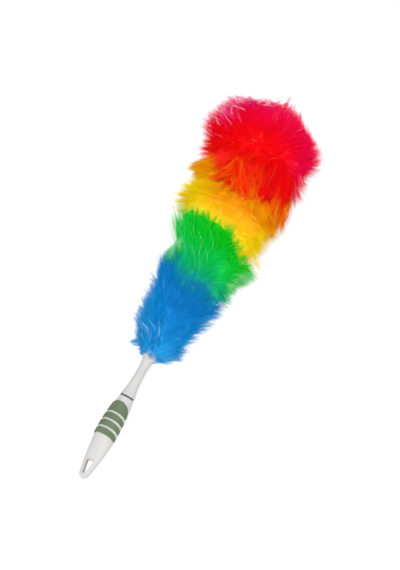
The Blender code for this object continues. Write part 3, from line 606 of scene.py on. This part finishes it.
def place_tufts(coat):
    """Root, tip, wire hold and rainbow place of each tuft of a coat. The tip's radius is the
    reach times the lumps and a share drawn from the coat's range, and the root lies a share of
    the way from the wire hold towards the tip."""
    count = coat["tufts"]
    d, angle = spiral_over_head(count)
    angle = angle + chance.normal(0, TURN_JITTER, count)
    size = reach(d, angle) * lumps(d, angle) * chance.uniform(*coat["reach"], count)
    place = place_in_rainbow(d + chance.normal(0, DYE_JITTER, count), angle)
    held, colour = held_at(place, d, angle), np.clip(place.astype(int), 0, 3)
    place = shaded(place, angle)
    tip = on_stick(d, size, angle)
    root_angle = angle + chance.normal(0, coat["tilt"], count)
    root_d = held + coat["along"] * (d - held) + chance.normal(0, coat["slip"], count)
    root_d = np.maximum(root_d, FIRST_ROOT)
    root_size = coat["out"] * np.minimum(size, reach(root_d, root_angle))
    root = on_stick(root_d, root_size, root_angle)
    return dict(root=root, tip=tip, held=held, place=place, colour=colour, pale=0 * place)


print(sum(coat["tufts"] for coat in COATS.values()), "tufts in", len(COATS), "coats")

# %% Fibres of a coat
LENGTH_CURVE = (2.2, 1.4)       # the beta curve of the lengths: short fibres are rare
STANDING = (0.0, 0.3)           # how much a tuft's middle stands up instead of leaning
FRIZZ = 0.0007                  # metres that a fibre's tip strays
THICKNESS = (0.7, 1.2)          # shares of the coat's width, from fibre to fibre
FORWARD = (0.75, 1, 1)          # the outside faces less along the stick than away from it
DYE_SPREAD = 0.02               # of the place in the rainbow, from fibre to fibre
TUFT_LIGHT = 0.35               # how much brighter or deeper a tuft may be than the rest
FIBRE_LIGHT = 0.15              # and a fibre than its tuft
NOT_GLINTING = 0.997               # share of the fibres with no painted highlight
GLINT_PALENESS = 0.6             # painted highlight at the tips of the others


def grow(coat, tufts):
    """Fibres of a coat's tufts. Each follows its tuft's line, a quadratic bend
    (1-t)^2 root + 2t(1-t) middle + t^2 tip, at an offset that shrinks towards the tip, and ends
    at a share of it. The middle lies out along the radius, so a fibre stands up first and leans
    after."""
    count = len(tufts["root"])
    shape = (count, coat["fibres"])
    length = coat["length"][0] + np.ptp(coat["length"]) * chance.beta(*LENGTH_CURVE, shape)
    t = length[..., None] * np.linspace(0, 1, coat["knots"])
    t = t[..., None]
    root, tip = tufts["root"][:, None, None], tufts["tip"][:, None, None]
    way = tip - root
    outward = unit(root * (0, 1, 1))
    upright = chance.uniform(*STANDING, (count, 1, 1, 1))
    stand = np.linalg.norm(way, axis=-1, keepdims=True) * outward
    middle = root + 0.5 * (way * (1 - upright) + stand * upright)
    middle = middle + chance.normal(0, coat["bow"], (count, 1, 1, 3))
    line = (1 - t) ** 2 * root + 2 * t * (1 - t) * middle + t * t * tip
    offset = chance.normal(0, coat["spread"], (*shape, 1, 3))
    draw_in = chance.uniform(*coat["draw_in"], (count, 1, 1, 1))
    line = line + offset * (1 - draw_in * t ** 1.5)
    line = line + chance.normal(0, FRIZZ, line.shape) * t
    held = np.stack((RIM + tufts["held"], 0 * tufts["held"], 0 * tufts["held"]), -1)
    outward = unit((line - held[:, None, None]) * FORWARD)
    taper = np.sqrt(1 - np.linspace(0, 1, coat["knots"]) ** 2)
    radius = chance.uniform(*THICKNESS, (*shape, 1)) * coat["width"] * taper
    dye = chance.normal(0, DYE_SPREAD, (*shape, 1))
    rainbow = tufts["place"][:, None, None] + dye + 0 * t[..., 0]
    lighter = chance.uniform(-TUFT_LIGHT, TUFT_LIGHT, (count, 1, 1))
    lighter = lighter + chance.uniform(-FIBRE_LIGHT, FIBRE_LIGHT, (*shape, 1))
    # Brightness grows from root to tip: painted shade at the root, painted light at the tip.
    bright = np.clip(t[..., 0] + lighter, 0, 1)
    # Paleness is a painted highlight: a few fibres, and each pale wisp, glint near white at their
    # tips.
    rare = GLINT_PALENESS * (chance.uniform(0, 1, (*shape, 1)) > NOT_GLINTING)
    pale = t[..., 0] * np.maximum(rare, tufts["pale"][:, None, None])
    return dict(line=line, outward=outward, radius=radius, rainbow=rainbow / 4,
                brightness=bright, paleness=pale)


thickest = 2 * THICKNESS[1] * max(coat["width"] for coat in COATS.values())
print(f"the thickest fibre measures {thickest * 1000:.2f} mm at its root")

# %% A piece for each share of a colour's coat
COLOURS = ("blue", "green", "yellow", "red")
MOST_TRIANGLES = 190000     # of one piece


def fibre_piece(name, colour, fibres, chosen):
    """A piece made of the chosen tufts' fibres, in place of the colour's solid."""
    taken = {key: values[chosen] for key, values in fibres.items()}
    taken = {key: values.reshape(-1, *values.shape[2:]) for key, values in taken.items()}
    line = press_down(to_world(*np.moveaxis(taken["line"], -1, 0)))
    outward = taken["outward"] @ np.array((ALONG, ASIDE, ABOVE))
    facts = {key: taken[key] for key in ("rainbow", "brightness", "paleness")}
    mesh = fibre_mesh(name, line, taken["radius"], outward, facts)
    mesh.materials.append(fibre_material)
    piece = bpy.data.objects.new(name, mesh)
    bpy.context.scene.collection.objects.link(piece)
    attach(piece, "root")
    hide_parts(colour + "_fluff")


for coat_name, coat in COATS.items():
    tufts = place_tufts(coat)
    fibres = grow(coat, tufts)
    triangles = coat["fibres"] * (6 * coat["knots"] - 8)
    for number, colour in enumerate(COLOURS):
        chosen = np.flatnonzero(tufts["colour"] == number)
        shares = math.ceil(len(chosen) * triangles / MOST_TRIANGLES)
        for share in range(shares):
            name = f"{colour}_{coat_name}_{share + 1}"
            fibre_piece(name, colour, fibres, chosen[share::shares])
        print(colour, coat_name, len(chosen), "tufts in", shares, "pieces")

# %% [markdown]
# ## Wisps in chosen places
# Some wisps of the real fluff catch the eye because they don't follow the rest. Blue ones stand
# off beside the neck's rim, pale green ones fringe the waist, and a golden wing points to the
# left. An orange fan hangs from the red over the yellow, thin pink wisps stand off at the end,
# and short red ones hide the cap there. They can't come from an even spiral, so each group has
# ranges for the angle from the left side in degrees, for the distance and reach of its tips, and
# for how many millimetres further on its roots lie. In a fan the roots draw together.

# %% Place the wisps
# A row's pale is a painted highlight: near-white glints, and light through thin hairs at the tips.
WISPS = {
    "collar": dict(colour=0, tufts=120, fibres=9, round=(-60, 150), tip=(-5, 3),
                   out=(0.84, 1.08), back=(5, 11), deep=0.60, place=(0.15, 0.65), pale=0.2,
                   spread=0.0016),
    "veil": dict(colour=0, tufts=30, fibres=6, round=(74, 128), tip=(-7, 0), out=(0.86, 0.98),
                 back=(7, 12), deep=0.62, place=(0.0, 0.2), pale=1.2, spread=0.0014),
    "rim_right": dict(colour=0, tufts=50, fibres=8, round=(146, 200), tip=(2, 18),
                      out=(1.02, 1.30), back=(-2, 8), deep=0.62, place=(0.1, 0.4), pale=0.25,
                      spread=0.0016),
    "stray_blue": dict(colour=0, tufts=14, fibres=10, round=(-5, 5), tip=(1, 5), out=(2.0, 2.2),
                       back=(10, 14), deep=0.60, place=(0.0, 0.3), pale=0.2, spread=0.0012),
    # A deeper blue by the rim: painted shade where the fluff near the neck lies in shadow.
    "painted_shade_blue": dict(colour=0, tufts=60, fibres=9, round=(30, 96), tip=(2, 16), out=(0.94, 1.05),
                     back=(6, 16), deep=0.70, place=(0.70, 0.90), pale=0.0, spread=0.0018),
    "blue_left": dict(colour=0, tufts=90, fibres=7, round=(-24, 26), tip=(12, 118),
                      out=(1.06, 1.22), back=(-14, -4), deep=0.66, place=(0.1, 0.5), pale=0.3,
                      spread=0.0012),
    "blue_right": dict(colour=0, tufts=70, fibres=7, round=(164, 204), tip=(12, 110),
                       out=(1.04, 1.20), back=(-26, -10), deep=0.66, place=(0.1, 0.5), pale=0.15,
                       spread=0.0012),
    "blue_hairs": dict(colour=0, tufts=12, fibres=3, round=(24, 110), tip=(16, 50),
                       out=(0.99, 1.04), back=(-20, -8), deep=0.90, place=(0.0, 0.2), pale=0.9,
                       spread=0.0005, focus=(84, 0.5)),
    "green_left": dict(colour=1, tufts=140, fibres=7, round=(-30, 34), tip=(148, 208),
                       out=(0.98, 1.10), back=(-28, -12), deep=0.80, place=(1.25, 1.7), pale=0.7,
                       spread=0.0026),
    "green_lobe": dict(colour=1, tufts=100, fibres=8, round=(152, 200), tip=(140, 182),
                       out=(1.00, 1.12), back=(-8, 6), deep=0.78, place=(1.7, 1.9), pale=0.8,
                       spread=0.0022),
    "green_hairs": dict(colour=1, tufts=18, fibres=2, round=(16, 92), tip=(166, 206),
                        out=(0.99, 1.03), back=(-32, -18), deep=0.92, place=(1.3, 1.6), pale=0.6,
                        spread=0.0004, focus=(104, 0.55)),
    "green_tips": dict(colour=1, tufts=34, fibres=8, round=(50, 106), tip=(211, 224),
                       out=(0.97, 1.02), back=(-30, -18), deep=0.90, place=(1.82, 1.98), pale=0.0,
                       spread=0.0020),
    "wing": dict(colour=2, tufts=70, fibres=9, round=(-34, 24), tip=(266, 280),
                 out=(0.98, 1.08), back=(10, 24), deep=0.74, place=(2.60, 2.92), pale=0.0,
                 spread=0.0020),
    "wing_tip": dict(colour=2, tufts=24, fibres=9, round=(-8, 8), tip=(268, 274),
                     out=(1.12, 1.22), back=(18, 28), deep=0.66, place=(2.3, 2.7), pale=0.0,
                     spread=0.0014),
    "fan": dict(colour=3, tufts=100, fibres=12, round=(46, 106), tip=(250, 276),
                out=(0.94, 1.03), back=(22, 34), deep=0.90, place=(2.94, 3.10), pale=0.0,
                spread=0.0014, focus=(74, 0.25)),
    "flank": dict(colour=2, tufts=90, fibres=12, round=(128, 176), tip=(228, 260),
                  out=(0.92, 1.02), back=(34, 50), deep=0.86, place=(2.82, 2.98), pale=0.0,
                  spread=0.0018),
    "red_tail": dict(colour=3, tufts=90, fibres=10, round=(106, 154), tip=(256, 288),
                     out=(0.96, 1.03), back=(28, 44), deep=0.86, place=(3.04, 3.30), pale=0.0,
                     spread=0.0020),
    "pink_right": dict(colour=3, tufts=26, fibres=5, round=(150, 200), tip=(296, 326),
                       out=(1.00, 1.06), back=(10, 24), deep=0.84, place=(3.7, 3.95), pale=0.6,
                       spread=0.0010),
    "pink_left": dict(colour=3, tufts=150, fibres=5, round=(-34, 44), tip=(346, 418),
                      out=(1.00, 1.14), back=(-8, 6), deep=0.80, place=(3.9, 4.0), pale=0.12,
                      spread=0.0010),
    "pink_dashes": dict(colour=3, tufts=110, fibres=4, round=(-14, 50), tip=(344, 414),
                        out=(1.03, 1.10), back=(-10, 4), deep=0.92, place=(3.9, 4.0), pale=1.3,
                        spread=0.0006),
    "pink_far": dict(colour=3, tufts=40, fibres=3, round=(-14, 24), tip=(396, 420),
                     out=(1.12, 1.40), back=(-16, -2), deep=0.70, place=(3.93, 4.0), pale=0.15,
                     spread=0.0008),
    "fringe": dict(colour=3, tufts=70, fibres=5, round=(0, 360), tip=(404, 438), out=(0.9, 1.25),
                   back=(-32, -22), deep=0.70, place=(3.6, 3.95), pale=0.1, spread=0.0014),
    "curl": dict(colour=3, tufts=2, fibres=4, round=(36, 44), tip=(448, 454), out=(0.5, 0.7),
                 back=(-26, -20), deep=0.30, place=(3.85, 3.95), pale=0.0, spread=0.0014),
    "end": dict(colour=3, tufts=90, fibres=8, round=(0, 360), tip=(414, 438), out=(0.30, 1.20),
                back=(-34, -20), deep=0.34, place=(3.6, 3.9), pale=0.05, spread=0.0020),
}
WISP_COAT = dict(knots=5, width=0.00019, draw_in=(0.6, 1.0), length=(0.5, 1.0), bow=0.0040)
LEAST_REACH = 0.018     # of the outline, for the wisps round both ends
WISP_TILT = 0.08        # radians that a root strays


def place_wisps(row):
    """Root, tip, wire hold and rainbow place of each wisp in a row, drawn evenly from the row's
    ranges. Out and deep are shares of the reach at the tip and at the root, and the focus of a
    fan is the angle that the roots draw near to, and the share of the way that is left."""
    count = row["tufts"]
    turn = chance.uniform(*row["round"], count)
    centre, left_over = row.get("focus", (0, 1))
    angle = LEFT + np.radians(turn)
    d = chance.uniform(*row["tip"], count) / 1000
    size = np.maximum(reach(d, angle), LEAST_REACH) * chance.uniform(*row["out"], count)
    root_d = d + chance.uniform(*row["back"], count) / 1000
    root_angle = LEFT + np.radians(centre + (turn - centre) * left_over)
    root_angle = root_angle + chance.normal(0, WISP_TILT, count)
    root_size = row["deep"] * reach(root_d, root_angle)
    place = chance.uniform(*row["place"], count)
    return dict(root=on_stick(root_d, root_size, root_angle), tip=on_stick(d, size, angle),
                held=d, place=place, pale=row["pale"] * chance.uniform(0.2, 1, count))


for name, row in WISPS.items():
    tufts = place_wisps(row)
    fibres = grow(dict(WISP_COAT, fibres=row["fibres"], spread=row["spread"]), tufts)
    fibre_piece("wisps_" + name, COLOURS[row["colour"]], fibres, slice(None))
    print("wisps", name, row["tufts"])

# %% [markdown]
# ## The dense core
# Near the wire the fibres stand so close that no light passes. Filling that space with fibres
# would only cost time, so a soft closed form stands there in each colour, below the surface. Its
# colours change a little before those of the tips above it, and they meet in streaks, because
# the dyed fibres mix there.

# %% The cores
CORE_SHARE = 0.70       # the radius of the dense core, as a share of the reach
CORE_BORDERS = np.array((0.001, 0.118, 0.198, 0.291, 0.415))    # metres from the rim
CORE_GAP = 0.0002       # from a border to the core on each side of it
CORE_AHEAD = 0.010      # the core follows the outline and the dye this much further on
CORE_LAST = 0.93        # share of the head past which it follows the outline no more
CORE_END_RADIUS = 0.0135
CORE_END_LENGTHS = (0.02, 0.06)     # over which it swells at the rim and shrinks at the end
CORE_ROWS = 40          # along one colour
AROUND = 96             # corners of a row


def core_mesh(name, low, high, rows):
    """A closed form round the wire: its radius is a share of the reach a little further on,
    times lumps, drawn in at the two ends of the head by sqrt(1 - (1 - way)^2)."""
    share = np.linspace(0, 1, rows)[:, None]
    angle = np.arange(AROUND)[None, :] * 2 * math.pi / AROUND
    d = low + (high - low) * share + 0 * angle
    ahead = np.clip(d + CORE_AHEAD, 0, HEAD_LENGTH * CORE_LAST)
    radius = CORE_SHARE * reach(ahead, angle) * lumps(ahead, angle)
    front = np.clip((d - CORE_BORDERS[0]) / CORE_END_LENGTHS[0], 0, 1)
    end = np.clip((CORE_BORDERS[-1] - d) / CORE_END_LENGTHS[1], 0, 1)
    swell = (radius - CORE_END_RADIUS) * np.sqrt(1 - (1 - front) ** 2) * np.sqrt(1 - (1 - end) ** 2)
    radius = CORE_END_RADIUS + swell
    points = press_down(to_world(RIM + d, radius * np.cos(angle), radius * np.sin(angle)))
    ring, side = np.meshgrid(np.arange(rows - 1), np.arange(AROUND), indexing="ij")
    here, beside = ring * AROUND + side, ring * AROUND + (side + 1) % AROUND
    faces = np.stack((here, here + AROUND, beside + AROUND, beside), -1).reshape(-1, 4).tolist()
    faces += [list(range(AROUND)), [(rows - 1) * AROUND + k for k in reversed(range(AROUND))]]
    mesh = bpy.data.meshes.new(name)
    mesh.from_pydata(points.reshape(-1, 3).tolist(), [], faces)
    mesh.shade_smooth()
    place = shaded(place_in_rainbow(d + CORE_AHEAD, angle), angle) / 4
    mesh.attributes.new("rainbow", "FLOAT", "POINT").data.foreach_set(
        "value", place.astype(np.float32).ravel())
    return mesh


# %% Their material
STREAKS = (0.16, 1.0, 1.0)      # scale of all marks: six times as long along the stick as wide
FINE, BROAD = 700.0, 300.0      # marks in a metre, of the matted fibre and of the stray dye
SOFTNESS = 3.0                  # how many finer marks each mark holds
MIXING = 0.13                   # range of the stray dye, as a share of the whole rainbow
CORE_BUMP = 0.0012              # metres
core_material, tree, shader = start_material("fibre_core", Roughness=0.9)
place = add_node(tree, "ShaderNodeAttribute", attribute_name="rainbow").outputs["Fac"]
where = add_node(tree, "ShaderNodeTexCoord").outputs["Object"]
streaked = add_node(tree, "ShaderNodeMapping", {"Vector": where, "Scale": STREAKS})
matted = noise(tree, streaked.outputs["Vector"], FINE, SOFTNESS)
wander = noise(tree, streaked.outputs["Vector"], BROAD, SOFTNESS)
place = maths(tree, "MULTIPLY_ADD", wander, MIXING, maths(tree, "SUBTRACT", place, MIXING / 2))
share = stretched(tree, matted)
dyed = place_group(tree, dye_and_light_group, {"Rainbow": place, "Brightness": share, "Paleness": 0.0})
raised = add_node(tree, "ShaderNodeBump", {"Height": matted, "Distance": CORE_BUMP})
tree.links.new(dyed.outputs["Colour"], shader.inputs["Base Color"])
tree.links.new(raised.outputs["Normal"], shader.inputs["Normal"])
for number, colour in enumerate(COLOURS):
    low, high = CORE_BORDERS[number] + CORE_GAP, CORE_BORDERS[number + 1] - CORE_GAP
    mesh = core_mesh(colour + "_core", low, high, CORE_ROWS)
    mesh.materials.append(core_material)
    core = bpy.data.objects.new(colour + "_core", mesh)
    bpy.context.scene.collection.objects.link(core)
    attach(core, "root")
    print(core.name, len(mesh.polygons), "faces")

# %% [markdown]
# ## Floor and light
# The duster is seen on plain white. More light would burn out its colours, so the floor adds a
# glow of its own that only the camera sees, and it keeps a soft shadow. All other rays meet a
# plain pale floor. An even sky lights the fluff from all sides, and looks white itself.

# %% Floor, sky and sun
FLOOR_SIZE = 60.0
PALE = (0.88, 0.88, 0.88, 1)        # the floor for all other rays
SHOWN = (0.42, 0.42, 0.42, 1)       # what it gives back to the camera of the light on it
GLOW = 0.62                         # what it adds for the camera
SKY = 0.52                          # how bright the sky is as a light
floor_mesh = bpy.data.meshes.new("floor")
half = FLOOR_SIZE / 2
floor_mesh.from_pydata([(-half, -half, 0), (half, -half, 0), (half, half, 0), (-half, half, 0)],
                       [], [(0, 1, 2, 3)])
floor = bpy.data.objects.new("floor", floor_mesh)
bpy.context.scene.collection.objects.link(floor)
floor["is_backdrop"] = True


def seen_directly(tree):
    """1 for the rays that show a surface to the camera, straight or in gloss or glass."""
    rays = add_node(tree, "ShaderNodeLightPath").outputs
    mirrored = maths(tree, "MAXIMUM", rays["Is Glossy Ray"], rays["Is Transmission Ray"])
    return maths(tree, "MAXIMUM", rays["Is Camera Ray"], mirrored)


floor_material, tree, shader = start_material("pale_floor", Roughness=1.0, Specular_IOR_Level=0.0)
seen = seen_directly(tree)
pale = blend_colours(tree, seen, PALE, SHOWN)
glow = maths(tree, "MULTIPLY", seen, GLOW)
tree.links.new(pale, shader.inputs["Base Color"])
shader.inputs["Emission Color"].default_value = (1, 1, 1, 1)
tree.links.new(glow, shader.inputs["Emission Strength"])
floor_mesh.materials.append(floor_material)

world = bpy.data.worlds.new("studio")
bpy.context.scene.world = world
world.use_nodes = True
sky_tree = world.node_tree
strength = maths(sky_tree, "MULTIPLY_ADD", seen_directly(sky_tree), 1.0 - SKY, SKY)
sky_tree.links.new(strength, sky_tree.nodes["Background"].inputs["Strength"])
sky_tree.nodes["Background"].inputs["Color"].default_value = (1, 1, 1, 1)
print("floor", FLOOR_SIZE, "m wide, sky", SKY)

# %% [markdown]
# ## Camera and sun
# The photograph was taken from above the grip's broad face, with a long lens. Its angle is given
# by two things: the way to the camera, seen from the stick, and the stick's slope in the image.
# The camera is then moved until the tail lies where the photograph shows it. The sun stands
# almost behind the camera, a little above it and to its left, so the shadows are short.

# %% Set up the camera and the sun
TO_CAMERA = (-0.165, -0.337, 0.927)     # along, aside and above the stick
SLOPE = math.radians(60.85)             # of the stick in the image
FOCAL_PIXELS = 2112                     # the lens's focal length, in pixels of the image
SENSOR_WIDTH = 36.0                     # millimetres
TAIL_DISTANCE = 3.06                    # metres
TAIL_PIXEL = (81.8, 477.9)
IMAGE_SIZE = (400, 570)
SUN_STRENGTH = 2.45
SUN_WIDTH = math.radians(10)
SUN_OFFSET = 0.06                       # up and to the left of the way to the camera

toward = unit(TO_CAMERA[0] * ALONG + TO_CAMERA[1] * ASIDE + TO_CAMERA[2] * ABOVE)
stick_flat = unit(ALONG - (ALONG @ toward) * toward)
beside = np.cross(stick_flat, toward)
right = math.cos(SLOPE) * stick_flat + math.sin(SLOPE) * beside
up = math.sin(SLOPE) * stick_flat - math.cos(SLOPE) * beside
metres = TAIL_DISTANCE / FOCAL_PIXELS
shift_right = (TAIL_PIXEL[0] - IMAGE_SIZE[0] / 2) * metres
shift_up = (IMAGE_SIZE[1] / 2 - TAIL_PIXEL[1]) * metres
place = TAIL + toward * TAIL_DISTANCE - right * shift_right - up * shift_up

camera = bpy.data.objects.new("camera", bpy.data.cameras.new("camera"))
bpy.context.scene.collection.objects.link(camera)
camera.data.sensor_width = SENSOR_WIDTH
camera.data.lens = FOCAL_PIXELS / IMAGE_SIZE[1] * camera.data.sensor_width
turned = Matrix([Vector(row) for row in np.column_stack((right, up, toward))]).to_4x4()
camera.matrix_world = Matrix.Translation(Vector(place)) @ turned
bpy.context.scene.camera = camera
print("camera at", np.round(place, 3), "lens", round(camera.data.lens, 1), "mm")

sun = bpy.data.objects.new("sun", bpy.data.lights.new("sun", "SUN"))
bpy.context.scene.collection.objects.link(sun)
sun.data.energy = SUN_STRENGTH
sun.data.angle = SUN_WIDTH
from_sun = unit(toward + up * SUN_OFFSET - right * SUN_OFFSET)
sun.matrix_world = Vector(from_sun).to_track_quat("Z", "Y").to_matrix().to_4x4()

# %% Record the sizes and finish
bpy.context.scene.view_settings.view_transform = "Standard"
low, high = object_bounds()
